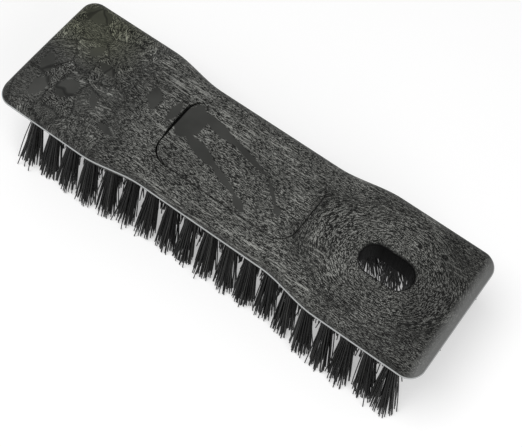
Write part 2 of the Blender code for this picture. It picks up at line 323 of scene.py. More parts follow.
def rounded_rectangle(grow=0.0):
    """Counter-clockwise outline of the pad, from its right side on, with all four corners."""
    reach_x = PAD_LENGTH / 2 - PAD_RADIUS
    reach_y = PAD_WIDTH / 2 - PAD_RADIUS
    points = []
    for quarter, (side_x, side_y) in enumerate([(1, 1), (-1, 1), (-1, -1), (1, -1)]):
        for step in range(PAD_CORNER_STEPS + 1):
            turn = math.pi / 2 * (quarter + step / PAD_CORNER_STEPS)
            radius = PAD_RADIUS + grow
            points.append((
                side_x * reach_x + radius * math.cos(turn),
                side_y * reach_y + radius * math.sin(turn),
            ))
        if quarter == 1:
            left = -reach_x - PAD_RADIUS - grow
            points += [(left, y) for y in spaced(reach_y, -reach_y, PAD_SIDE_STEPS)[:-1]]
    return points


def left_gap(y):
    """Width of the gap along the left end of the pad."""
    widening = limited((y - GAP_NARROW_AT) / (GAP_WIDE_FROM - GAP_NARROW_AT))
    corner = limited((GAP_CORNER_FROM - y) / GAP_CORNER_LENGTH)
    share = GAP_NARROWEST + (1 - GAP_NARROWEST) * widening + GAP_CORNER_SHARE * corner
    return GAP_LEFT * share


def gap_outline():
    """The pad's outline, grown by the width that the gap has at each place."""
    grown = []
    for (x, y), (far_x, far_y) in zip(rounded_rectangle(), rounded_rectangle(1.0)):
        out = Vector((far_x - x, far_y - y)).normalized()
        ends = left_gap(y) if out.x < 0 else GAP_RIGHT
        sides = GAP_BACK if out.y > 0 else GAP_FRONT
        width = ends * out.x ** 2 + sides * out.y ** 2
        grown.append((x + out.x * width, y + out.y * width))
    return grown


def prism(levels):
    """Closed solid through a stack of rings; each level is (points, height function)."""
    builder = bmesh.new()
    rings = [ring_of(builder, points, height_at) for points, height_at in levels]
    for lower, upper in zip(rings, rings[1:]):
        bridge(builder, lower, upper)
    builder.faces.new(rings[0])
    builder.faces.new(rings[-1])
    return builder


def level(height):
    return lambda x, y: height


def pad_levels():
    levels = [(rounded_rectangle(), level(PAD_Z - PAD_DEPTH))]
    for step in range(ROUNDING_STEPS + 1):
        turn = math.pi / 2 * step / ROUNDING_STEPS
        drawn_in = PAD_EDGE * (1 - math.cos(turn))
        height = PAD_Z - PAD_EDGE * (1 - math.sin(turn))
        levels.append((rounded_rectangle(-drawn_in), level(height)))
    return levels


def use_tool(target, tool, operation):
    """Applies a Boolean with a tool solid, then throws the tool away."""
    modifier = target.modifiers.new(tool.name, "BOOLEAN")
    modifier.operation = operation
    modifier.solver = "EXACT"
    modifier.object = tool
    bpy.context.view_layer.update()
    evaluated = target.evaluated_get(bpy.context.evaluated_depsgraph_get())
    result = bpy.data.meshes.new_from_object(evaluated)
    target.modifiers.clear()
    target.data = result
    bpy.data.objects.remove(tool, do_unlink=True)


pocket = prism([
    (gap_outline(), level(PAD_Z - GAP_FLOOR)),
    (gap_outline(), level(PAD_Z + PAD_DEPTH)),
])
use_tool(block, to_object(pocket, "pad_pocket"), "DIFFERENCE")
use_tool(block, to_object(prism(pad_levels()), "label_pad"), "UNION")
print("with the pad:", len(block.data.polygons), "faces")

# %% [markdown]
# The hanging slot goes right through near one end, for a hook or a peg. Its mouth is rounded
# over, because a finger goes in there too. The cutter is a stack of slot outlines that widen on
# a quarter circle towards the top, and their heights follow the crown, so the rounding stays
# even all the way round.

# %% Hanging slot
SLOT_LENGTH = 0.0224
SLOT_WIDTH = 0.0124
SLOT_FROM_END = 0.0333
SLOT_X = BLOCK_LENGTH / 2 - SLOT_FROM_END
SLOT_ROUNDING = 0.0013
SLOT_FOOT_ROUNDING = 0.0006
SLOT_STEPS = 20
SLOT_ROUNDING_STEPS = 7
TOOL_REACH = 0.002           # how far a tool runs past the face that it cuts


def slot_outline(grow):
    radius = SLOT_WIDTH / 2 + grow
    reach = (SLOT_LENGTH - SLOT_WIDTH) / 2
    points = []
    for side, start in ((1, -math.pi / 2), (-1, math.pi / 2)):
        for step in range(SLOT_STEPS + 1):
            turn = start + math.pi * step / SLOT_STEPS
            points.append((SLOT_X + side * reach + radius * math.cos(turn), radius * math.sin(turn)))
    return points


def below_top(depth):
    return lambda x, y: PARTING_Z + top_height(x, y) - depth


def slot_levels():
    foot = SLOT_FOOT_ROUNDING
    levels = [
        (slot_outline(foot), level(UNDERSIDE_Z - TOOL_REACH)),
        (slot_outline(foot), level(UNDERSIDE_Z)),
        (slot_outline(0.0), level(UNDERSIDE_Z + foot)),
    ]
    for step in range(SLOT_ROUNDING_STEPS + 1):
        turn = math.pi / 2 * step / SLOT_ROUNDING_STEPS
        grow = SLOT_ROUNDING * (1 - math.cos(turn))
        levels.append((slot_outline(grow), below_top(SLOT_ROUNDING * (1 - math.sin(turn)))))
    levels.append((slot_outline(SLOT_ROUNDING), below_top(-TOOL_REACH)))
    return levels


use_tool(block, to_object(prism(slot_levels()), "slot_cutter"), "DIFFERENCE")
print("with the slot:", len(block.data.polygons), "faces")

# %% [markdown]
# Five rows of holes are drilled into the underside. The outer rows follow the waisted edge, and
# the rows between share the width out evenly. Rows two and four stand half a pitch over, and the
# outer rows lean outwards, so that the brush scrubs past its own edge. A hole that would break
# into the slot is left out.

# %% Pattern of the tuft holes
ROWS = 5
COLUMNS = 19
END_MARGIN = 0.01465         # last hole's middle to the end of the block, on average
FIELD_SHIFT = 0.0026         # how far the pattern lies towards the slot end
TUFT_PITCH = (BLOCK_LENGTH - 2 * END_MARGIN) / (COLUMNS - 1)
OUTER_ROW_INSET = 0.0062
OUTER_ROW_LEAN = math.radians(12.3)
END_SPREAD = 0.057
HOLE_DIAMETER = 0.0048
HOLE_DEPTH = 0.0075
HOLE_WALL = 0.0018
TRIM = UNDERSIDE_Z


def near_slot(x, y):
    beyond = max(abs(x - SLOT_X) - (SLOT_LENGTH - SLOT_WIDTH) / 2, 0.0)
    return math.hypot(beyond, y) - SLOT_WIDTH / 2 < HOLE_DIAMETER / 2 + HOLE_WALL


def row_of_tufts(row):
    """Mouth (x, y) and slope of each tuft in a row; row 0 is the front one."""
    share = 2 * row / (ROWS - 1) - 1
    count = COLUMNS - row % 2
    tufts = []
    for column in range(count):
        x = FIELD_SHIFT + (column - (count - 1) / 2) * TUFT_PITCH
        y = share * (half_width(x) - OUTER_ROW_INSET)
        if not near_slot(x, y):
            slope = Vector((-END_SPREAD * x / TRIM, -math.tan(OUTER_ROW_LEAN * share), 0.0))
            tufts.append((Vector((x, y, UNDERSIDE_Z)), slope))
    return tufts


tuft_rows = [row_of_tufts(row) for row in range(ROWS)]
print("tufts in each row:", [len(tufts) for tufts in tuft_rows])

# %% [markdown]
# All the holes are one cutter, a set of slanted pegs. Each peg is a ring of points at the mouth
# and another at the bottom, moved along by the tuft's slope.

# %% Drill the holes
HOLE_SIDES = 16


def peg(builder, mouth, slope, low, high):
    rings = []
    for height in (low, high):
        centre = mouth + slope * height
        ring = []
        for side in range(HOLE_SIDES):
            turn = math.tau * (side + 0.5) / HOLE_SIDES
            x = centre.x + HOLE_DIAMETER / 2 * math.cos(turn)
            y = centre.y + HOLE_DIAMETER / 2 * math.sin(turn)
            ring.append(builder.verts.new((x, y, mouth.z + height)))
        rings.append(ring)
    bridge(builder, rings[0], rings[1])
    builder.faces.new(rings[0])
    builder.faces.new(rings[1])


pegs = bmesh.new()
for tufts in tuft_rows:
    for mouth, slope in tufts:
        peg(pegs, mouth, slope, -TOOL_REACH, HOLE_DEPTH)
use_tool(block, to_object(pegs, "hole_pegs"), "DIFFERENCE")
print("with the holes:", len(block.data.polygons), "faces")

# %% [markdown]
# The block is finished by smooth shading with a limit on the angle, so the rounded edges look
# round while the pad's step and the mouths of the holes stay crisp.

# %% Finish the block's mesh
SHARP_ANGLE = math.radians(38)
MERGE_DISTANCE = 0.000005


def clean_mesh(piece):
    builder = bmesh.new()
    builder.from_mesh(piece.data)
    bmesh.ops.remove_doubles(builder, verts=builder.verts, dist=MERGE_DISTANCE)
    bmesh.ops.triangulate(builder, faces=[face for face in builder.faces if len(face.verts) > 4])
    builder.to_mesh(piece.data)
    open_edges = sum(1 for edge in builder.edges if len(edge.link_faces) != 2)
    builder.free()
    return open_edges


open_edges = clean_mesh(block)
block.data.shade_smooth()
block.data.set_sharp_from_angle(angle=SHARP_ANGLE)
print("finished block:", len(block.data.polygons), "faces,", open_edges, "open edges")

# %% [markdown]
# Every node tree below is wired in the script, so two small helpers keep that readable. One
# makes a node and feeds its inputs, either from another node's socket or from a plain value.
# The other makes a Math node and hands back its result.

# %% Helpers for node trees
def feed(tree, socket, value):
    if isinstance(value, bpy.types.NodeSocket):
        tree.links.new(value, socket)
    else:
        socket.default_value = value


def put(tree, kind, inputs=None, **settings):
    """A new node: settings are its own properties, inputs are sockets by name or number."""
    node = tree.nodes.new(kind)
    for setting, value in settings.items():
        setattr(node, setting, value)
    for name, value in (inputs or {}).items():
        feed(tree, node.inputs[name], value)
    return node


def maths(tree, operation, *values):
    node = put(tree, "ShaderNodeMath", dict(enumerate(values)), operation=operation)
    return node.outputs[0]


def vector_maths(tree, operation, *values):
    node = put(tree, "ShaderNodeVectorMath", operation=operation)
    for socket, value in zip(node.inputs, values):
        feed(tree, socket, value)
    return node.outputs[0]


def scaled(tree, vector, factor):
    node = put(tree, "ShaderNodeVectorMath", {"Vector": vector, "Scale": factor}, operation="SCALE")
    return node.outputs["Vector"]


def joined(tree, x=0.0, y=0.0, z=0.0):
    return put(tree, "ShaderNodeCombineXYZ", {"X": x, "Y": y, "Z": z}).outputs[0]


def parts(tree, vector):
    return put(tree, "ShaderNodeSeparateXYZ", {"Vector": vector}).outputs


print("node helpers ready")

# %% [markdown]
# A tuft isn't glued in. A bundle of strands is folded in half round a flat anchor, and the
# anchor is driven into the hole with it, so every strand shows two ends. Geometry Nodes build
# this from one point per tuft: each point becomes a bundle of lines, and each line is bent into
# a narrow U whose two legs run down past the anchor, out of the mouth, and apart to their tips.
# The first step is the points, with the slope of each tuft stored on them.

# %% Points that carry the tufts
def tuft_points(name, tufts, first_loose, last_loose):
    """One vertex at each mouth, its slope, and how loosely its bundle can spread."""
    mesh = bpy.data.meshes.new(name)
    mesh.from_pydata([mouth for mouth, slope in tufts], [], [])
    mesh.attributes.new("slope", "FLOAT_VECTOR", "POINT")
    mesh.attributes.new("loose", "FLOAT", "POINT")
    for value, (mouth, slope) in zip(mesh.attributes["slope"].data, tufts):
        value.vector = slope
    mesh.attributes["loose"].data[0].value = first_loose
    mesh.attributes["loose"].data[len(tufts) - 1].value = last_loose
    points = bpy.data.objects.new(name, mesh)
    bpy.context.scene.collection.objects.link(points)
    return points


front_points = tuft_points("front_row_bristles", tuft_rows[0], 0.35, 1.0)
print("points in the front row:", len(front_points.data.vertices))

# %% [markdown]
# The tree has a named input for each size and for the seed. Random values are drawn once for
# each strand and stored by name, before the lines are made, so that the same draw bends every
# point of a strand.

# %% Tuft tree: inputs and bundles
tuft_tree = bpy.data.node_groups.new("folded tufts", "GeometryNodeTree")
TUFT_INPUTS = [
    ("Strands", "NodeSocketInt", 36),
    ("Strand radius", "NodeSocketFloat", 0.00024),
    ("Bundle radius", "NodeSocketFloat", 0.0020),
    ("Trim", "NodeSocketFloat", TRIM),
    ("Fold height", "NodeSocketFloat", 0.0071),
    ("Spread", "NodeSocketFloat", 2.40),
    ("Loose spread", "NodeSocketFloat", 0.5),
    ("Flatness", "NodeSocketFloat", 0.84),
    ("Tip scatter", "NodeSocketFloat", 0.0008),
    ("Tuft sway", "NodeSocketFloat", 0.0007),
    ("Bow", "NodeSocketFloat", 0.0005),
    ("Ragged trim", "NodeSocketFloat", 0.0014),
    ("Seed", "NodeSocketInt", 7),
]
sockets = tuft_tree.interface
sockets.new_socket("Geometry", in_out="INPUT", socket_type="NodeSocketGeometry")
for name, kind, value in TUFT_INPUTS:
    sockets.new_socket(name, in_out="INPUT", socket_type=kind).default_value = value
sockets.new_socket("Material", in_out="INPUT", socket_type="NodeSocketMaterial")
sockets.new_socket("Geometry", in_out="OUTPUT", socket_type="NodeSocketGeometry")
given = put(tuft_tree, "NodeGroupInput").outputs


def seed_number(shift):
    return maths(tuft_tree, "ADD", given["Seed"], float(shift))


def random_vector(shift):
    """A vector whose parts each run from -1 to 1."""
    node = put(tuft_tree, "FunctionNodeRandomValue", data_type="FLOAT_VECTOR")
    node.inputs["Min"].default_value = (-1.0, -1.0, -1.0)
    feed(tuft_tree, node.inputs["Seed"], seed_number(shift))
    return node.outputs["Value"]


def random_share(shift):
    node = put(tuft_tree, "FunctionNodeRandomValue", data_type="FLOAT")
    feed(tuft_tree, node.inputs["Seed"], seed_number(shift))
    return node.outputs[1]


def store(geometry, name, kind, value):
    node = put(tuft_tree, "GeometryNodeStoreNamedAttribute", data_type=kind, domain="POINT")
    tuft_tree.links.new(geometry, node.inputs["Geometry"])
    node.inputs["Name"].default_value = name
    feed(tuft_tree, node.inputs["Value"], value)
    return node.outputs["Geometry"]


def stored(name, kind):
    node = put(tuft_tree, "GeometryNodeInputNamedAttribute", data_type=kind)
    node.inputs["Name"].default_value = name
    return node.outputs["Attribute"]


cloud = put(tuft_tree, "GeometryNodeMeshToPoints", {"Mesh": given["Geometry"]}).outputs[0]
mouth_place = put(tuft_tree, "GeometryNodeInputPosition").outputs[0]
cloud = store(cloud, "mouth", "FLOAT_VECTOR", mouth_place)
cloud = store(cloud, "sway", "FLOAT_VECTOR", random_vector(0))
bundle = put(tuft_tree, "GeometryNodeDuplicateElements", domain="POINT")
tuft_tree.links.new(cloud, bundle.inputs["Geometry"])
tuft_tree.links.new(given["Strands"], bundle.inputs["Amount"])
print("tuft tree inputs:", len(TUFT_INPUTS))

# %% [markdown]
# Inside a bundle the strands pack evenly, like seeds in a sunflower: each next one turns by the
# golden ratio and lies a little further out. Only half a disc is filled here, on one side of the
# anchor, because each strand's other leg fills the other half.

# %% Tuft tree: packing and random draws
GOLDEN_SHARE = 0.618034
ANCHOR_HALF = 0.00052        # half the anchor and half a strand

number = maths(tuft_tree, "ADD", bundle.outputs["Duplicate Index"], 0.5)
ring_share = maths(tuft_tree, "SQRT", maths(tuft_tree, "DIVIDE", number, given["Strands"]))
out_by = maths(tuft_tree, "MULTIPLY", ring_share, given["Bundle radius"])
half_turn = maths(tuft_tree, "FRACT", maths(tuft_tree, "MULTIPLY", number, GOLDEN_SHARE))
turn = maths(tuft_tree, "MULTIPLY", half_turn, math.pi)
pack_x = maths(tuft_tree, "MULTIPLY", out_by, maths(tuft_tree, "COSINE", turn))
pack_y = maths(tuft_tree, "MULTIPLY", out_by, maths(tuft_tree, "SINE", turn))
pack_y = maths(tuft_tree, "MAXIMUM", pack_y, ANCHOR_HALF)

strands = bundle.outputs["Geometry"]
strands = store(strands, "packing", "FLOAT_VECTOR", joined(tuft_tree, pack_x, pack_y))
for shift, name in enumerate(("scatter_a", "scatter_b", "bow_a", "bow_b"), start=1):
    strands = store(strands, name, "FLOAT_VECTOR", random_vector(shift))
for shift, name in enumerate(("trim_a", "trim_b", "wild_a", "wild_b", "shade"), start=10):
    strands = store(strands, name, "FLOAT", random_share(shift))
print("draws stored for each strand")

# %% [markdown]
# Each strand starts as a straight line of thirteen points. The middle point becomes the fold
# over the anchor, the second point on each side is at the mouth of the hole, and the rest run
# down to the tips. A strand's distance from the fold, from 0 to 1, says which stretch a point is on.

# %% Tuft tree: from line to folded strand
STRAND_POINTS = 13
LEG_STEPS = (STRAND_POINTS - 1) / 2
MOUTH_SHARE = 1 / 3          # the mouth, as a share of the way from fold to tip
SHOULDER_SHARE = 1 / 6
SHOULDER_HEIGHT = 0.82       # where the fold's shoulder lies, as a share of its height
TABLE_GAP = 0.0003           # the longest strands end this far above the table

straight = put(tuft_tree, "GeometryNodeCurvePrimitiveLine").outputs[0]
dotted = put(tuft_tree, "GeometryNodeResampleCurve", {
    "Curve": straight, "Count": STRAND_POINTS,
}).outputs[0]
laid = put(tuft_tree, "GeometryNodeInstanceOnPoints", {"Points": strands, "Instance": dotted})
laid = put(tuft_tree, "GeometryNodeRealizeInstances", {"Geometry": laid.outputs[0]}).outputs[0]


def remap(value, low, high, new_low, new_high):
    node = put(tuft_tree, "ShaderNodeMapRange", {
        "Value": value, "From Min": low, "From Max": high, "To Min": new_low, "To Max": new_high,
    })
    return node.outputs["Result"]


def by_side(name, kind):
    """The draw for this leg: a on one side of the fold, b on the other."""
    socket = "VECTOR" if kind == "FLOAT_VECTOR" else "FLOAT"
    node = put(tuft_tree, "ShaderNodeMix", {"Factor": second_leg}, data_type=socket)
    first = 4 if socket == "VECTOR" else 2
    feed(tuft_tree, node.inputs[first], stored(name + "_a", kind))
    feed(tuft_tree, node.inputs[first + 1], stored(name + "_b", kind))
    return node.outputs[1 if socket == "VECTOR" else 0]


way = put(tuft_tree, "GeometryNodeSplineParameter").outputs["Factor"]
signed = maths(tuft_tree, "MULTIPLY_ADD", way, 2.0, -1.0)
steps_away = maths(tuft_tree, "ROUND", maths(tuft_tree, "MULTIPLY", signed, LEG_STEPS))
side = maths(tuft_tree, "SIGN", steps_away)
from_fold = maths(tuft_tree, "ABSOLUTE", signed)
second_leg = maths(tuft_tree, "GREATER_THAN", signed, 0.0)
shoulder = maths(tuft_tree, "MULTIPLY", given["Fold height"], SHOULDER_HEIGHT)
above_shoulder = maths(tuft_tree, "SUBTRACT", given["Fold height"], shoulder)
fold = remap(from_fold, 0.0, SHOULDER_SHARE, above_shoulder, 0.0)
leg = remap(from_fold, SHOULDER_SHARE, MOUTH_SHARE, shoulder, 0.0)
fall = remap(from_fold, MOUTH_SHARE, 1.0, 0.0, 1.0)
ragged = maths(tuft_tree, "MULTIPLY", by_side("trim", "FLOAT"), given["Ragged trim"])
reach = maths(tuft_tree, "SUBTRACT", given["Trim"], TABLE_GAP)
reach = maths(tuft_tree, "SUBTRACT", reach, ragged)
dropped = maths(tuft_tree, "MULTIPLY", fall, reach)
rise = maths(tuft_tree, "SUBTRACT", maths(tuft_tree, "ADD", fold, leg), dropped)
print("strand heights wired")

# %% [markdown]
# Below the mouth the bundle opens like a fan. Three things keep it from looking combed: each
# tuft sways a little as a whole, each tip is scattered on its own, and a few wild strands go
# further than the rest. The end tufts have no neighbour to lean on, so they spread more.

# %% Tuft tree: opening the bundle
WILD_POWER = 7.0             # the higher it is, the rarer the wild strands
WILD_REACH = 2.0             # how much further a wild strand is thrown

loose = maths(tuft_tree, "MULTIPLY", stored("loose", "FLOAT"), given["Loose spread"])
opened = maths(tuft_tree, "ADD", maths(tuft_tree, "SUBTRACT", given["Spread"], 1.0), loose)
widen = maths(tuft_tree, "MULTIPLY_ADD", fall, opened, 1.0)
pack_parts = parts(tuft_tree, stored("packing", "FLOAT_VECTOR"))
offset_x = maths(tuft_tree, "MULTIPLY", pack_parts["X"], widen)
widen_y = maths(tuft_tree, "MULTIPLY", widen, given["Flatness"])
widen_y = maths(tuft_tree, "MAXIMUM", widen_y, 1.0)
offset_y = maths(tuft_tree, "MULTIPLY", pack_parts["Y"], side)
offset_y = maths(tuft_tree, "MULTIPLY", offset_y, widen_y)

wild = maths(tuft_tree, "POWER", by_side("wild", "FLOAT"), WILD_POWER)
wild = maths(tuft_tree, "MULTIPLY", wild, WILD_REACH)
thrown = maths(tuft_tree, "MULTIPLY", given["Tip scatter"], maths(tuft_tree, "ADD", wild, 1.0))
thrown = maths(tuft_tree, "MULTIPLY", thrown, fall)
bend = maths(tuft_tree, "SINE", maths(tuft_tree, "MULTIPLY", fall, math.pi))
bend = maths(tuft_tree, "MULTIPLY", bend, given["Bow"])
swing = maths(tuft_tree, "MULTIPLY", fall, given["Tuft sway"])

offset = joined(tuft_tree, offset_x, offset_y, rise)
place = vector_maths(tuft_tree, "ADD", stored("mouth", "FLOAT_VECTOR"), offset)
level_only = (1.0, 1.0, 0.0)
for draw, amount in (
    (by_side("scatter", "FLOAT_VECTOR"), thrown),
    (by_side("bow", "FLOAT_VECTOR"), bend),
    (stored("sway", "FLOAT_VECTOR"), swing),
):
    sideways = vector_maths(tuft_tree, "MULTIPLY", draw, level_only)
    place = vector_maths(tuft_tree, "ADD", place, scaled(tuft_tree, sideways, amount))
leaned = scaled(tuft_tree, stored("slope", "FLOAT_VECTOR"), rise)
place = vector_maths(tuft_tree, "ADD", place, leaned)
bent = put(tuft_tree, "GeometryNodeSetPosition", {"Geometry": laid, "Position": place}).outputs[0]
print("bundle opened")

# %% [markdown]
# A strand is a line until it gets a thickness. Curve to Mesh sweeps a five-sided ring along it
# and caps both ends, which is round enough for half a millimetre. The stored draws are removed
# again, apart from the shade that the bristle's material reads.

# %% Tuft tree: thickness and finish
STRAND_SIDES = 5

section = put(tuft_tree, "GeometryNodeCurvePrimitiveCircle", {
    "Resolution": STRAND_SIDES, "Radius": given["Strand radius"],
})
swept = put(tuft_tree, "GeometryNodeCurveToMesh", {
    "Curve": bent, "Profile Curve": section.outputs[0], "Fill Caps": True,
}).outputs[0]
for name in ("mouth", "sway", "packing", "scatter_a", "scatter_b", "bow_a", "bow_b",
             "trim_a", "trim_b", "wild_a", "wild_b", "slope", "loose"):
    swept = put(tuft_tree, "GeometryNodeRemoveAttribute", {
        "Geometry": swept, "Name": name,
    }).outputs[0]
swept = put(tuft_tree, "GeometryNodeSetShadeSmooth", {"Geometry": swept}).outputs[0]
swept = put(tuft_tree, "GeometryNodeRealizeInstances", {"Geometry": swept}).outputs[0]
swept = put(tuft_tree, "GeometryNodeSetMaterial", {
    "Geometry": swept, "Material": given["Material"],
}).outputs[0]
put(tuft_tree, "NodeGroupOutput", {"Geometry": swept})
print("tuft tree nodes:", len(tuft_tree.nodes))

# %% [markdown]
# The bristle is extruded black plastic. It is nearly black, with a soft sheen along the strand,
# and no two strands are quite alike: a few are plainly greyer, a base colour that also paints in
# the thin highlight stripes along the tufts. The cut tips are paler where the trimming knife left
# them.

# %% Bristle material
def new_material(name):
    material = bpy.data.materials.new(name)
    material.use_nodes = True
    return material, material.node_tree, material.node_tree.nodes["Principled BSDF"]


def object_position(tree):
    return put(tree, "ShaderNodeTexCoord").outputs["Object"]


def ramp_between(tree, value, low, high, new_low=0.0, new_high=1.0):
    node = put(tree, "ShaderNodeMapRange", {
        "Value": value, "From Min": low, "From Max": high, "To Min": new_low, "To Max": new_high,
    })
    return node.outputs["Result"]


def mix_colours(tree, share, first, second, blend="MIX"):
    node = put(tree, "ShaderNodeMix", {"Factor": share}, data_type="RGBA", blend_type=blend)
    feed(tree, node.inputs[6], first)
    feed(tree, node.inputs[7], second)
    return node.outputs[2]


bristle, tree, shader = new_material("black_bristle")
shade = put(tree, "ShaderNodeAttribute", attribute_name="shade").outputs["Fac"]
height = parts(tree, object_position(tree))["Z"]
tip = ramp_between(tree, height, 0.0020, 0.0002)
drawn = put(tree, "ShaderNodeTexNoise", {
    "Vector": object_position(tree), "Scale": 900.0, "Detail": 2.0,
})
# a few strands get a greyer base: partly their own tone, partly painted highlight stripes
greyer_and_highlit = maths(tree, "POWER", shade, 4.0)
base = mix_colours(tree, greyer_and_highlit, (0.0008, 0.0008, 0.0008, 1), (0.036, 0.036, 0.034, 1))
base = mix_colours(tree, maths(tree, "MULTIPLY", tip, 0.35), base, (0.035, 0.035, 0.036, 1))
feed(tree, shader.inputs["Base Color"], base)
feed(tree, shader.inputs["Roughness"], ramp_between(tree, drawn.outputs["Fac"], 0.3, 0.7, 0.26, 0.40))
shader.inputs["Specular IOR Level"].default_value = 0.16
print("bristle material nodes:", len(tree.nodes))

# %% [markdown]
# Now the tree runs once for each row. A modifier's inputs are set by their identifiers, because
# two inputs could share a name. Every hole is the same size and holds the same number of
# strands, but the inner rows have room on both sides and open out further. The evaluated result
# is turned into a plain mesh, the modifier goes, and the piece takes the place of the packed
# model's plain tufts.

# %% Grow the bristles
ROW_NAMES = ["front_row_bristles", "second_row_bristles", "middle_row_bristles",
             "fourth_row_bristles", "back_row_bristles"]
ROW_NODES = [
    [name for name in frame["nodes"] if name.startswith("front_") and name.endswith("_tuft")],
    ["second_row_tufts"],
    ["middle_row_tufts", "slot_end_1_tuft"],
    ["fourth_row_tufts"],
    ["back_row_tufts"],
]


def run_tree(piece, tree, values):
    """Runs a tree on a piece with these inputs and leaves it a plain mesh."""
    modifier = piece.modifiers.new(tree.name, "NODES")
    modifier.node_group = tree
    for item in tree.interface.items_tree:
        if item.item_type == "SOCKET" and item.in_out == "INPUT" and item.name in values:
            modifier[item.identifier] = values[item.name]
    bpy.context.view_layer.update()
    evaluated = piece.evaluated_get(bpy.context.evaluated_depsgraph_get())
    piece.data = bpy.data.meshes.new_from_object(evaluated)
    piece.modifiers.clear()


def triangles(piece):
    return sum(len(face.vertices) - 2 for face in piece.data.polygons)


FIRST_SEED = 11
SEED_STEP = 100
LOOSE_LEFT = 0.35            # how far the last tuft at each end opens, as a share
LOOSE_RIGHT = 0.8
INNER_ROW = {
    "Spread": 2.9, "Flatness": 1.15, "Tip scatter": 0.0013, "Bow": 0.0014, "Loose spread": 0.1,
}

bristle_rows = [front_points]
for name, tufts in zip(ROW_NAMES[1:], tuft_rows[1:]):
    bristle_rows.append(tuft_points(name, tufts, LOOSE_LEFT, LOOSE_RIGHT))
for number, (piece, replaced) in enumerate(zip(bristle_rows, ROW_NODES)):
    opening = INNER_ROW if 0 < number < ROWS - 1 else {}
    seed = FIRST_SEED + SEED_STEP * number
    run_tree(piece, tuft_tree, {"Seed": seed, "Material": bristle, **opening})
    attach(piece, "root")
    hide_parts(*replaced)
    print(piece.name, triangles(piece), "triangles")

# %% [markdown]
# The anchors are short lengths of flat galvanised wire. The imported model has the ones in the
# front row and beside the slot, and those stay. The tufts of the other rows were joined there,
# so their anchors are made here, by a small tree that sets a plate on each point and tips it to
# the slope of its hole.

# %% Anchor tree
ANCHOR_WIDTH = 0.0042
ANCHOR_THICKNESS = 0.0005
ANCHOR_HEIGHT = 0.0020
ANCHOR_UP = 0.0047           # from the mouth of the hole to the middle of the anchor
ANCHOR_CHAMFER = 0.0001


def anchor_plate():
    """A flat piece of wire with its cut edges just broken."""
    builder = bmesh.new()
    size = Matrix.Diagonal((ANCHOR_WIDTH, ANCHOR_THICKNESS, ANCHOR_HEIGHT, 1.0))
    bmesh.ops.create_cube(builder, size=1.0, matrix=size)
    bmesh.ops.bevel(builder, geom=builder.edges, offset=ANCHOR_CHAMFER, segments=1, affect="EDGES")
    return to_object(builder, "anchor_plate")


anchor_tree = bpy.data.node_groups.new("anchors in their holes", "GeometryNodeTree")
sockets = anchor_tree.interface
sockets.new_socket("Geometry", in_out="INPUT", socket_type="NodeSocketGeometry")
sockets.new_socket("Plate", in_out="INPUT", socket_type="NodeSocketObject")
sockets.new_socket("Up", in_out="INPUT", socket_type="NodeSocketFloat").default_value = ANCHOR_UP
sockets.new_socket("Material", in_out="INPUT", socket_type="NodeSocketMaterial")
sockets.new_socket("Geometry", in_out="OUTPUT", socket_type="NodeSocketGeometry")
given = put(anchor_tree, "NodeGroupInput").outputs
slope = put(anchor_tree, "GeometryNodeInputNamedAttribute", data_type="FLOAT_VECTOR")
slope.inputs["Name"].default_value = "slope"
upright = vector_maths(anchor_tree, "ADD", slope.outputs["Attribute"], (0.0, 0.0, 1.0))
tipped = put(anchor_tree, "FunctionNodeAlignRotationToVector", {"Vector": upright}, axis="Z")
shifted = put(anchor_tree, "GeometryNodeSetPosition", {
    "Geometry": given["Geometry"], "Offset": scaled(anchor_tree, upright, given["Up"]),
})
plate = put(anchor_tree, "GeometryNodeObjectInfo", {"Object": given["Plate"]})
placed = put(anchor_tree, "GeometryNodeInstanceOnPoints", {
    "Points": shifted.outputs[0], "Instance": plate.outputs["Geometry"], "Rotation": tipped.outputs[0],
})
placed = put(anchor_tree, "GeometryNodeRealizeInstances", {"Geometry": placed.outputs[0]})
placed = put(anchor_tree, "GeometryNodeSetMaterial", {
    "Geometry": placed.outputs[0], "Material": given["Material"],
})
put(anchor_tree, "NodeGroupOutput", {"Geometry": placed.outputs[0]})
print("anchor tree nodes:", len(anchor_tree.nodes))

# %% [markdown]
# Zinc on the wire shows as a soft grey metal with faint brighter and darker grains, the spangle.
# A Voronoi pattern gives each grain its own value, and that value moves both the colour and the
# roughness a little.

# %% Galvanised wire material
zinc, tree, shader = new_material("galvanised_wire")
grains = put(tree, "ShaderNodeTexVoronoi", {"Vector": object_position(tree), "Scale": 1800.0})
grain = parts(tree, grains.outputs["Color"])["X"]
scratch = put(tree, "ShaderNodeTexNoise", {
    "Vector": object_position(tree), "Scale": 2600.0, "Detail": 3.0,
})
colour = mix_colours(tree, grain, (0.42, 0.43, 0.45, 1), (0.62, 0.63, 0.64, 1))
feed(tree, shader.inputs["Base Color"], colour)
feed(tree, shader.inputs["Roughness"], ramp_between(tree, grain, 0.0, 1.0, 0.32, 0.48))
shader.inputs["Metallic"].default_value = 1.0
bump = put(tree, "ShaderNodeBump", {
    "Height": scratch.outputs["Fac"], "Strength": 0.25, "Distance": 0.00005,
})
feed(tree, shader.inputs["Normal"], bump.outputs["Normal"])
print("galvanised material nodes:", len(tree.nodes))

# %% Set the anchors
inner_tufts = tuft_rows[1] + [tuft for tuft in tuft_rows[2] if tuft[0].x < SLOT_X]
inner_tufts += tuft_rows[3] + tuft_rows[4]
inner_anchors = tuft_points("inner_row_anchors", inner_tufts, 0.0, 0.0)
plate = anchor_plate()
run_tree(inner_anchors, anchor_tree, {"Plate": plate, "Material": zinc})
bpy.data.objects.remove(plate, do_unlink=True)
inner_anchors.data.attributes.remove(inner_anchors.data.attributes["slope"])
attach(inner_anchors, "root")


def dress(node, material):
    """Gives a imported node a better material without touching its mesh."""
    for slot in frame["nodes"][node].material_slots:
        slot.material = material


kept_anchors = [node for node in frame["nodes"] if node.endswith("_anchor")]
for node in kept_anchors:
    dress(node, zinc)
print("anchors made:", len(inner_tufts), "and kept:", len(kept_anchors))

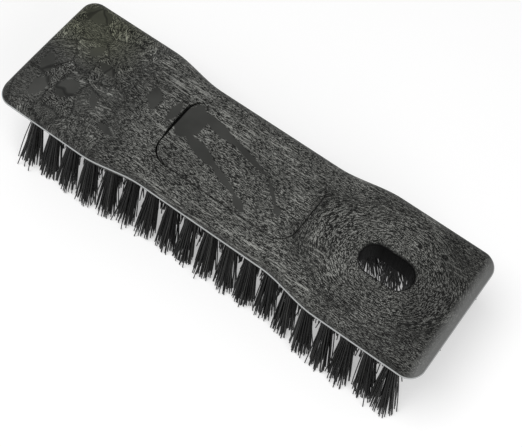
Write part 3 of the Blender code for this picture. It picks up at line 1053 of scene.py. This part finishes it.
# %% [markdown]
# Foamed plastic has a look of its own. Gas bubbles burst against the cold mould and are smeared
# along the flow, so the skin is charcoal with fine pale flecks drawn out into short streaks.
# Along the middle the streaks run lengthwise. Round the slot they curve, because the plastic
# had to part there and close again behind the pin. At the far end the skin folded over itself,
# and each fold has streaks in a direction of its own.
#
# So the flow has three parts. Each is a small shader group that turns a place on the block into
# a place in the plastic, with x along the streaks and y across them.

# %% Groups: flow along the block, round the slot, and in the folds
def new_group(name, inputs, outputs):
    group = bpy.data.node_groups.new(name, "ShaderNodeTree")
    for label, kind, value in inputs:
        socket = group.interface.new_socket(label, in_out="INPUT", socket_type=kind)
        if value is not None:
            socket.default_value = value
    for label, kind in outputs:
        group.interface.new_socket(label, in_out="OUTPUT", socket_type=kind)
    return group, put(group, "NodeGroupInput").outputs


def noise(tree, place, scale, detail=2.0):
    inputs = {"Vector": place, "Scale": scale, "Detail": detail}
    return put(tree, "ShaderNodeTexNoise", inputs).outputs


def wandering(tree, place, scale, amount):
    """The place, moved about by slow noise."""
    slow = noise(tree, place, scale)["Color"]
    slow = vector_maths(tree, "SUBTRACT", slow, (0.5, 0.5, 0.5))
    return vector_maths(tree, "ADD", place, scaled(tree, slow, amount))


def spun(tree, place, angle):
    inputs = {"Vector": place, "Angle": angle}
    return put(tree, "ShaderNodeVectorRotate", inputs, rotation_type="Z_AXIS").outputs[0]


VECTOR, NUMBER = "NodeSocketVector", "NodeSocketFloat"

length_group, given = new_group("flow along the block", [
    ("Position", VECTOR, None), ("Wander scale", NUMBER, 24.0), ("Wander", NUMBER, 0.005),
], [("Flow", VECTOR)])
flow = wandering(length_group, given["Position"], given["Wander scale"], given["Wander"])
put(length_group, "NodeGroupOutput", {"Flow": flow})

ring_group, given = new_group("flow round the slot", [
    ("Position", VECTOR, None), ("Centre", VECTOR, None), ("Narrowing", NUMBER, 0.72),
    ("Ring radius", NUMBER, 0.018), ("Wander scale", NUMBER, 50.0), ("Wander", NUMBER, 0.006),
], [("Flow", VECTOR), ("Distance", NUMBER)])
away = vector_maths(ring_group, "SUBTRACT", given["Position"], given["Centre"])
squeeze = joined(ring_group, given["Narrowing"], 1.0, 0.0)
away = parts(ring_group, vector_maths(ring_group, "MULTIPLY", away, squeeze))
away_x, away_y = away["X"], away["Y"]
away_squared = maths(ring_group, "MULTIPLY_ADD", away_x, away_x,
                     maths(ring_group, "MULTIPLY", away_y, away_y))
distance = maths(ring_group, "SQRT", away_squared)
bearing = maths(ring_group, "ARCTAN2", away_y, away_x)
round_it = joined(ring_group, maths(ring_group, "MULTIPLY", bearing, given["Ring radius"]), distance)
flow = wandering(ring_group, round_it, given["Wander scale"], given["Wander"])
put(ring_group, "NodeGroupOutput", {"Flow": flow, "Distance": distance})

fold_group, given = new_group("folded skin", [
    ("Position", VECTOR, None), ("Fold scale", NUMBER, 78.0),
    ("Wander scale", NUMBER, 70.0), ("Wander", NUMBER, 0.010),
], [("Flow", VECTOR), ("Fold", NUMBER), ("Crease", NUMBER)])
bent_place = wandering(fold_group, given["Position"], given["Wander scale"], given["Wander"])
cells = {"Vector": bent_place, "Scale": given["Fold scale"]}
folds = put(fold_group, "ShaderNodeTexVoronoi", cells)
creases = put(fold_group, "ShaderNodeTexVoronoi", cells, feature="DISTANCE_TO_EDGE")
fold = parts(fold_group, folds.outputs["Color"])["X"]
crease = ramp_between(fold_group, creases.outputs["Distance"], 0.055, 0.020)
fold_turn = maths(fold_group, "MULTIPLY", fold, math.pi)
flow = spun(fold_group, bent_place, fold_turn)
put(fold_group, "NodeGroupOutput", {"Flow": flow, "Fold": fold, "Crease": crease})
print("flow groups ready:", length_group.name + ",", ring_group.name + ",", fold_group.name)

# %% [markdown]
# The flecks are three layers of noise on the flow. A fine one, hardly drawn out, gives the
# speckle, one drawn out further gives the streaks, and one drawn out furthest gives a few long
# pale threads, which come in clusters.

# %% Group: foam flecks
fleck_group, given = new_group("foam flecks", [
    ("Flow", VECTOR, None),
    ("Fleck scale", NUMBER, 5600.0),
    ("Streak scale", NUMBER, 4200.0),
    ("Draw out", NUMBER, 0.17),
    ("Streaks", NUMBER, 0.50),
    ("Thread scale", NUMBER, 1700.0),
    ("Threads", NUMBER, 0.75),
], [("Flecks", NUMBER)])


def drawn_out(along):
    return vector_maths(fleck_group, "MULTIPLY", given["Flow"], joined(fleck_group, along, 1.0, 1.0))


fine = noise(fleck_group, drawn_out(0.8), given["Fleck scale"], 0.0)["Fac"]
streak = noise(fleck_group, drawn_out(given["Draw out"]), given["Streak scale"], 0.0)["Fac"]
both = put(fleck_group, "ShaderNodeMix", {"Factor": given["Streaks"]}, data_type="FLOAT")
feed(fleck_group, both.inputs[2], ramp_between(fleck_group, fine, 0.41, 0.61))
feed(fleck_group, both.inputs[3], ramp_between(fleck_group, streak, 0.41, 0.61))
speckle = ramp_between(fleck_group, both.outputs[0], 0.10, 0.90)
thread = noise(fleck_group, drawn_out(0.06), given["Thread scale"], 0.0)["Fac"]
cluster = noise(fleck_group, drawn_out(0.5), 95.0, 1.0)["Fac"]
thread = maths(fleck_group, "MULTIPLY", ramp_between(fleck_group, thread, 0.56, 0.70),
               ramp_between(fleck_group, cluster, 0.46, 0.66))
flecks = maths(fleck_group, "MULTIPLY_ADD", thread, given["Threads"], speckle)
put(fleck_group, "NodeGroupOutput", {"Flecks": flecks})
print("fleck group ready")

# %% [markdown]
# A smooth patch is a turned oval on the top with its edge broken up by noise. Its corner power
# is 2 for an ellipse, and nearer 1 for a diamond. The group gives 1 inside it and 0 outside.

# %% Group: smooth patch
patch_group, given = new_group("smooth patch", [
    ("Position", VECTOR, None), ("Edge noise", NUMBER, 0.0), ("Centre", VECTOR, None),
    ("Half length", NUMBER, 0.01), ("Half width", NUMBER, 0.005), ("Turn", NUMBER, 0.0),
    ("Corner power", NUMBER, 2.0),
], [("Patch", NUMBER)])
away = vector_maths(patch_group, "SUBTRACT", given["Position"], given["Centre"])
turned = parts(patch_group, spun(patch_group, away, given["Turn"]))
reached = 0.0
for axis, half in (("X", "Half length"), ("Y", "Half width")):
    share = maths(patch_group, "DIVIDE", maths(patch_group, "ABSOLUTE", turned[axis]), given[half])
    share = maths(patch_group, "POWER", share, given["Corner power"])
    reached = maths(patch_group, "ADD", reached, share)
reached = maths(patch_group, "ADD", reached, given["Edge noise"])
put(patch_group, "NodeGroupOutput", {"Patch": ramp_between(patch_group, reached, 1.15, 0.85)})
print("patch group ready")

# %% [markdown]
# The smooth skin comes first. The largest patch is a chevron on the label pad, two long legs
# that open towards the slot, where the plastic spread out from under the pad. Each row of the
# table is a patch in millimetres and degrees: its centre, half its length and width, the way
# that it points, and its corner power.

# %% Foamed plastic: smooth skin
SMOOTH_PATCHES = [
    (-46.8, 5.0, 6.2, 3.2, -62, 1.3),    # beside the pad
    (-36.8, 5.0, 5.2, 1.9, 90, 1.6),
    (-28.2, 5.0, 8.4, 5.6, 86, 2.2),     # the chevron's tip
    (-17.5, 9.2, 10.0, 2.4, -11, 1.8),   # its back leg
    (-3.0, 6.6, 14.0, 1.3, -14, 1.6),
    (16.0, -1.4, 7.0, 0.8, -42, 1.5),
    (22.0, -6.6, 2.4, 1.5, -35, 1.5),
    (-17.5, -3.2, 9.5, 2.5, -16, 1.8),   # its front leg
    (-4.0, -7.6, 10.0, 1.4, -20, 1.6),
    (8.0, -13.0, 4.0, 1.7, -30, 1.5),
    (-92.0, -8.0, 5.6, 3.2, 105, 1.4),   # in the folds
    (-78.0, -12.5, 6.2, 4.4, 60, 1.4),
    (-88.0, -18.0, 6.0, 3.4, 80, 1.4),
    (-70.5, 4.0, 4.6, 2.2, -10, 1.4),
    (-79.5, 8.5, 3.6, 2.6, 60, 1.4),
    (-91.0, 23.0, 6.0, 4.6, 10, 1.6),
    (-65.5, -11.0, 4.4, 1.7, -50, 1.4),
    (-53.5, -18.0, 4.2, 1.5, -10, 1.4),
]

plastic, tree, shader = new_material("foamed_charcoal_plastic")


def use_group(tree, group, inputs):
    node = put(tree, "ShaderNodeGroup", node_tree=group)
    for name, value in inputs.items():
        feed(tree, node.inputs[name], value)
    return node.outputs


where = object_position(tree)
place = parts(tree, where)
flat = vector_maths(tree, "MULTIPLY", where, (1.0, 1.0, 0.0))
edge_noise = maths(tree, "MULTIPLY_ADD", noise(tree, flat, 330.0, 3.0)["Fac"], 1.1, -0.55)
smooth = 0.0
for x, y, half_length, half_wide, angle, corner_power in SMOOTH_PATCHES:
    patch = use_group(tree, patch_group, {
        "Position": flat, "Edge noise": edge_noise, "Centre": (x / 1000, y / 1000, 0.0),
        "Half length": half_length / 1000, "Half width": half_wide / 1000,
        "Turn": -math.radians(angle), "Corner power": corner_power,
    })
    smooth = maths(tree, "MAXIMUM", smooth, patch["Patch"])
print("smooth patches:", len(SMOOTH_PATCHES))

# %% [markdown]
# Next the three flows are read and blended by where they lie: the folds take over towards the
# far end, and the rings near the slot.

# %% Foamed plastic: flecks of the three flows
FOLDS_FROM, FOLDS_TO = -0.046, -0.068
RINGS_FROM, RINGS_TO = 0.030, 0.020      # distance from the middle of the slot


def blend(tree, share, first, second):
    node = put(tree, "ShaderNodeMix", {"Factor": share}, data_type="FLOAT")
    feed(tree, node.inputs[2], first)
    feed(tree, node.inputs[3], second)
    return node.outputs[0]


along_flow = use_group(tree, length_group, {"Position": where})
ring_flow = use_group(tree, ring_group, {"Position": flat, "Centre": (SLOT_X, 0.0, 0.0)})
fold_flow = use_group(tree, fold_group, {"Position": flat})
shift = maths(tree, "MULTIPLY_ADD", noise(tree, flat, 60.0)["Fac"], 0.03, -0.015)
fold_share = ramp_between(tree, maths(tree, "ADD", place["X"], shift), FOLDS_FROM, FOLDS_TO)
ring_share = ramp_between(tree, maths(tree, "ADD", ring_flow["Distance"], shift),
                          RINGS_FROM, RINGS_TO)
flecks = use_group(tree, fleck_group, {"Flow": along_flow["Flow"]})["Flecks"]
ring_flecks = use_group(tree, fleck_group, {"Flow": ring_flow["Flow"], "Threads": 0.3})["Flecks"]
fold_flecks = use_group(tree, fleck_group, {"Flow": fold_flow["Flow"], "Threads": 0.8})["Flecks"]
flecks = blend(tree, ring_share, flecks, ring_flecks)
flecks = blend(tree, fold_share, flecks, fold_flecks)
print("flows blended from x =", FOLDS_TO, "to", FOLDS_FROM, "and round the slot")

# %% [markdown]
# Then everything meets in the colour. Flecks lighten the charcoal, and patches and the rounded
# edge take them away. Some folds are smoother than others and a dark crease parts them, the skin
# is a little olive at that end, and it darkens beyond the slot, up to the end face, which is
# painted paler as painted light where that face catches the lamps. The rib at the parting line
# gets a pale painted highlight along it. The gap round the pad and the wall and rim of the slot
# are painted near black, as painted shade in those recesses.

# %% Foamed plastic: colour, roughness and relief
SMOOTH_SKIN = 0.53           # tone of skin without flecks, between the dark and pale ends
FLECK_POWER = 3.2            # above 1, the pale flecks are fewer than the dark ones
DARK_SKIN = (0.0012, 0.0013, 0.0011, 1)
PALE_FLECK = (0.270, 0.273, 0.256, 1)
OLIVE = (1.06, 1.08, 0.86, 1)
# painted highlight: a pale line along the rib at the parting line
PAINTED_FLASH_HIGHLIGHT = (0.42, 0.43, 0.43, 1)
# painted light: the end face beyond the slot is painted paler, as if it catches the lamps
PAINTED_END_LIGHT = (0.210, 0.212, 0.208, 1)
# painted shade: near black for the slot's wall and rim and for the gap round the pad
PAINTED_RECESS_SHADE = (0.004, 0.004, 0.004, 1)
GAP_MARGIN = 0.0004          # how far past the gap its painted shade is looked for
EDGE_SMOOTHNESS = 0.35       # how much of the flecks the rounded edge takes away
FOLD_SMOOTHNESS = 0.55       # and how much the smoothest folds do
DARKER_FROM, DARKER_TO = 0.070, 0.092    # the skin darkens between these, beyond the slot
END_LIGHT_FROM, END_LIGHT_TO = 0.0962, 0.0995      # and is painted paler between these, as light on the end face
END_LIGHT_SHARE = 0.6
OLIVE_FROM, OLIVE_TO = -0.060, -0.080    # where it turns olive, at the other end
CLOUD_TONES = (0.72, 1.28)   # darkest and palest of the slow changes over the whole skin
FOLD_TONES = (0.76, 1.26)    # darkest and palest fold
CREASE_TONE = 0.50
END_TONE = 0.60              # how dark the skin is just before the pale end face
EDGE_FROM, EDGE_TO = PARTING_Z + 0.0042, PARTING_Z + 0.0020
FLASH_HIGHLIGHT_FROM, FLASH_HIGHLIGHT_TO = FLASH_HALF + 0.0003, FLASH_HALF + 0.0001
SLOT_SHADE_FROM, SLOT_SHADE_TO = SLOT_WIDTH / 2 + 0.0013, SLOT_WIDTH / 2 + 0.0003
GAP_FLOOR_Z = PAD_Z - GAP_FLOOR
GAP_SHADE_FROM, GAP_SHADE_TO = GAP_FLOOR_Z + 0.0005, GAP_FLOOR_Z + 0.0001
SLOT_RAGGEDNESS = 0.0012     # how uneven the rim of the slot's painted shade is

edge_share = ramp_between(tree, place["Z"], EDGE_FROM, EDGE_TO)
smoother_fold = maths(tree, "MULTIPLY", ramp_between(tree, fold_flow["Fold"], 0.45, 0.75),
                      FOLD_SMOOTHNESS)
smoother_fold = maths(tree, "MULTIPLY", smoother_fold, fold_share)
plain_share = maths(tree, "MAXIMUM", smooth, maths(tree, "MULTIPLY", edge_share, EDGE_SMOOTHNESS))
plain_share = maths(tree, "MAXIMUM", plain_share, smoother_fold)
shown = blend(tree, plain_share, flecks, SMOOTH_SKIN)
brightness = maths(tree, "POWER", shown, FLECK_POWER)
colour = mix_colours(tree, brightness, DARK_SKIN, PALE_FLECK)

clouds = ramp_between(tree, noise(tree, flat, 55.0, 3.0)["Fac"], 0.3, 0.7, *CLOUD_TONES)
beyond_slot = ramp_between(tree, place["X"], DARKER_FROM, DARKER_TO, 1.0, END_TONE)
fold_tone = ramp_between(tree, fold_flow["Fold"], 0.0, 1.0, *FOLD_TONES)
crease_tone = ramp_between(tree, fold_flow["Crease"], 0.0, 1.0, 1.0, CREASE_TONE)
fold_tone = blend(tree, fold_share, 1.0, maths(tree, "MULTIPLY", fold_tone, crease_tone))
tone = maths(tree, "MULTIPLY", maths(tree, "MULTIPLY", clouds, beyond_slot), fold_tone)
colour = scaled(tree, colour, tone)
olive_share = maths(tree, "MULTIPLY", ramp_between(tree, place["X"], OLIVE_FROM, OLIVE_TO),
                    ramp_between(tree, place["Y"], -0.002, 0.012))
colour = mix_colours(tree, olive_share, colour, OLIVE, "MULTIPLY")

# painted light: the end face is painted paler where it would catch the lamps
end_light = maths(tree, "MULTIPLY", ramp_between(tree, place["X"], END_LIGHT_FROM, END_LIGHT_TO), END_LIGHT_SHARE)
colour = mix_colours(tree, end_light, colour, PAINTED_END_LIGHT)
# painted highlight: the rib at the parting line is painted pale, as if its edge catches the light
from_parting = maths(tree, "ABSOLUTE", maths(tree, "SUBTRACT", place["Z"], PARTING_Z))
flash_highlight = ramp_between(tree, from_parting, FLASH_HIGHLIGHT_FROM, FLASH_HIGHLIGHT_TO)
colour = mix_colours(tree, flash_highlight, colour, PAINTED_FLASH_HIGHLIGHT)

# painted shade: the slot's wall and rounded rim are darkened towards black
beside_slot = maths(tree, "ABSOLUTE", maths(tree, "SUBTRACT", place["X"], SLOT_X))
past_slot = maths(tree, "SUBTRACT", beside_slot, (SLOT_LENGTH - SLOT_WIDTH) / 2)
past_slot = maths(tree, "MAXIMUM", past_slot, 0.0)
slot_distance = maths(tree, "MULTIPLY_ADD", past_slot, past_slot,
                      maths(tree, "MULTIPLY", place["Y"], place["Y"]))
slot_distance = maths(tree, "SQRT", slot_distance)
slot_distance = maths(tree, "MULTIPLY_ADD", edge_noise, SLOT_RAGGEDNESS, slot_distance)
slot_shade = ramp_between(tree, slot_distance, SLOT_SHADE_FROM, SLOT_SHADE_TO)

# painted shade: the floor of the gap round the pad is darkened towards black
gap_shade = ramp_between(tree, place["Z"], GAP_SHADE_FROM, GAP_SHADE_TO)
for axis, half in (("X", PAD_LENGTH / 2 + GAP_LEFT), ("Y", PAD_WIDTH / 2 + GAP_FRONT)):
    inside = maths(tree, "LESS_THAN", maths(tree, "ABSOLUTE", place[axis]), half + GAP_MARGIN)
    gap_shade = maths(tree, "MULTIPLY", gap_shade, inside)
colour = mix_colours(tree, maths(tree, "MAXIMUM", slot_shade, gap_shade), colour, PAINTED_RECESS_SHADE)

feed(tree, shader.inputs["Base Color"], colour)
feed(tree, shader.inputs["Roughness"], ramp_between(tree, shown, 0.0, 1.0, 0.50, 0.64))
shader.inputs["Specular IOR Level"].default_value = 0.12
bump = put(tree, "ShaderNodeBump", {"Height": shown, "Strength": 0.6, "Distance": 0.00012})
feed(tree, shader.inputs["Normal"], bump.outputs["Normal"])

block.data.materials.clear()
block.data.materials.append(plastic)
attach(block, "root")
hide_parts("brush_block")
print("block material nodes:", len(tree.nodes))

# %% [markdown]
# The brush stands on its bristles on a plain white table that is lit a little from inside, so
# that the shadows on it stay soft and pale. It gets a very faint mottle, so that it isn't one
# flat colour, and it isn't part of the object.

# %% Floor
FLOOR_HALF = 2.0
TABLE_GLOW = 0.42

builder = bmesh.new()
bmesh.ops.create_grid(builder, x_segments=1, y_segments=1, size=FLOOR_HALF)
floor = to_object(builder, "studio_floor")
paper, tree, shader = new_material("white_floor")
mottle = put(tree, "ShaderNodeTexNoise", {"Vector": object_position(tree), "Scale": 6.0})
feed(tree, shader.inputs["Base Color"], mix_colours(
    tree, mottle.outputs["Fac"], (0.59, 0.59, 0.59, 1), (0.61, 0.61, 0.61, 1)))
shader.inputs["Emission Color"].default_value = (1.0, 1.0, 1.0, 1.0)
shader.inputs["Emission Strength"].default_value = TABLE_GLOW
shader.inputs["Roughness"].default_value = 0.9
floor.data.materials.append(paper)
floor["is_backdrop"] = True
print("floor, m:", 2 * FLOOR_HALF)

# %% [markdown]
# The light is that of a small product studio: a wide soft lamp overhead, towards the left end,
# a weaker one low beyond the slot end to open the shadows, and a bright white room all round.
# The colours are shown without a film look, so that white paper comes out white.

# %% Light
BLOCK_MIDDLE = (0.0, 0.0, 0.03)
ROOM_BRIGHTNESS = 0.38


def soft_lamp(name, place, target, size, power):
    light = bpy.data.lights.new(name, "AREA")
    light.shape = "DISK"
    light.size = size
    light.energy = power
    lamp = bpy.data.objects.new(name, light)
    bpy.context.scene.collection.objects.link(lamp)
    lamp.location = place
    lamp.rotation_euler = (Vector(target) - Vector(place)).to_track_quat("-Z", "Y").to_euler()


soft_lamp("key_lamp", (-0.15, -0.20, 0.90), BLOCK_MIDDLE, 0.60, 4.8)
soft_lamp("fill_lamp", (0.55, -0.25, 0.45), BLOCK_MIDDLE, 0.50, 1.6)
room = bpy.data.worlds.new("white_room")
room.use_nodes = True
background = room.node_tree.nodes["Background"]
background.inputs["Color"].default_value = (1.0, 1.0, 1.0, 1.0)
background.inputs["Strength"].default_value = ROOM_BRIGHTNESS
bpy.context.scene.world = room
bpy.context.scene.view_settings.view_transform = "Standard"

# %% [markdown]
# The camera looks down on the brush from the front and the slot end. Its place, the point that
# it looks at and its small tilt about its own axis are given in metres and degrees, and the lens
# is a short telephoto, which keeps the block's sides nearly parallel.

# %% Camera
CAMERA_PLACE = Vector((0.11631, -0.17094, 0.41686))
CAMERA_TARGET = Vector((0.018364, -0.011549, 0.0380))
CAMERA_TILT = math.radians(5.24)
LENS = 75.475

camera_data = bpy.data.cameras.new("studio_camera")
camera_data.sensor_width = 36.0
camera_data.lens = LENS
camera_data.clip_start = 0.01
camera = bpy.data.objects.new("studio_camera", camera_data)
bpy.context.scene.collection.objects.link(camera)
look = (CAMERA_TARGET - CAMERA_PLACE).to_track_quat("-Z", "Y").to_matrix()
tilt = Matrix.Rotation(CAMERA_TILT, 3, "Z")
camera.matrix_world = Matrix.Translation(CAMERA_PLACE) @ (look @ tilt).to_4x4()
bpy.context.scene.camera = camera
print("camera height, mm:", round(CAMERA_PLACE.z * 1000, 1))

# %% [markdown]
# Last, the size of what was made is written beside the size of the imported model, so that the two
# can be compared, and the frame checks that every piece rides on a real body.

# %% Sizes and finish
visual_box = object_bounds()
visual_size = visual_box[1] - visual_box[0]
print("visual model, mm:", [round(side * 1000, 1) for side in visual_size])
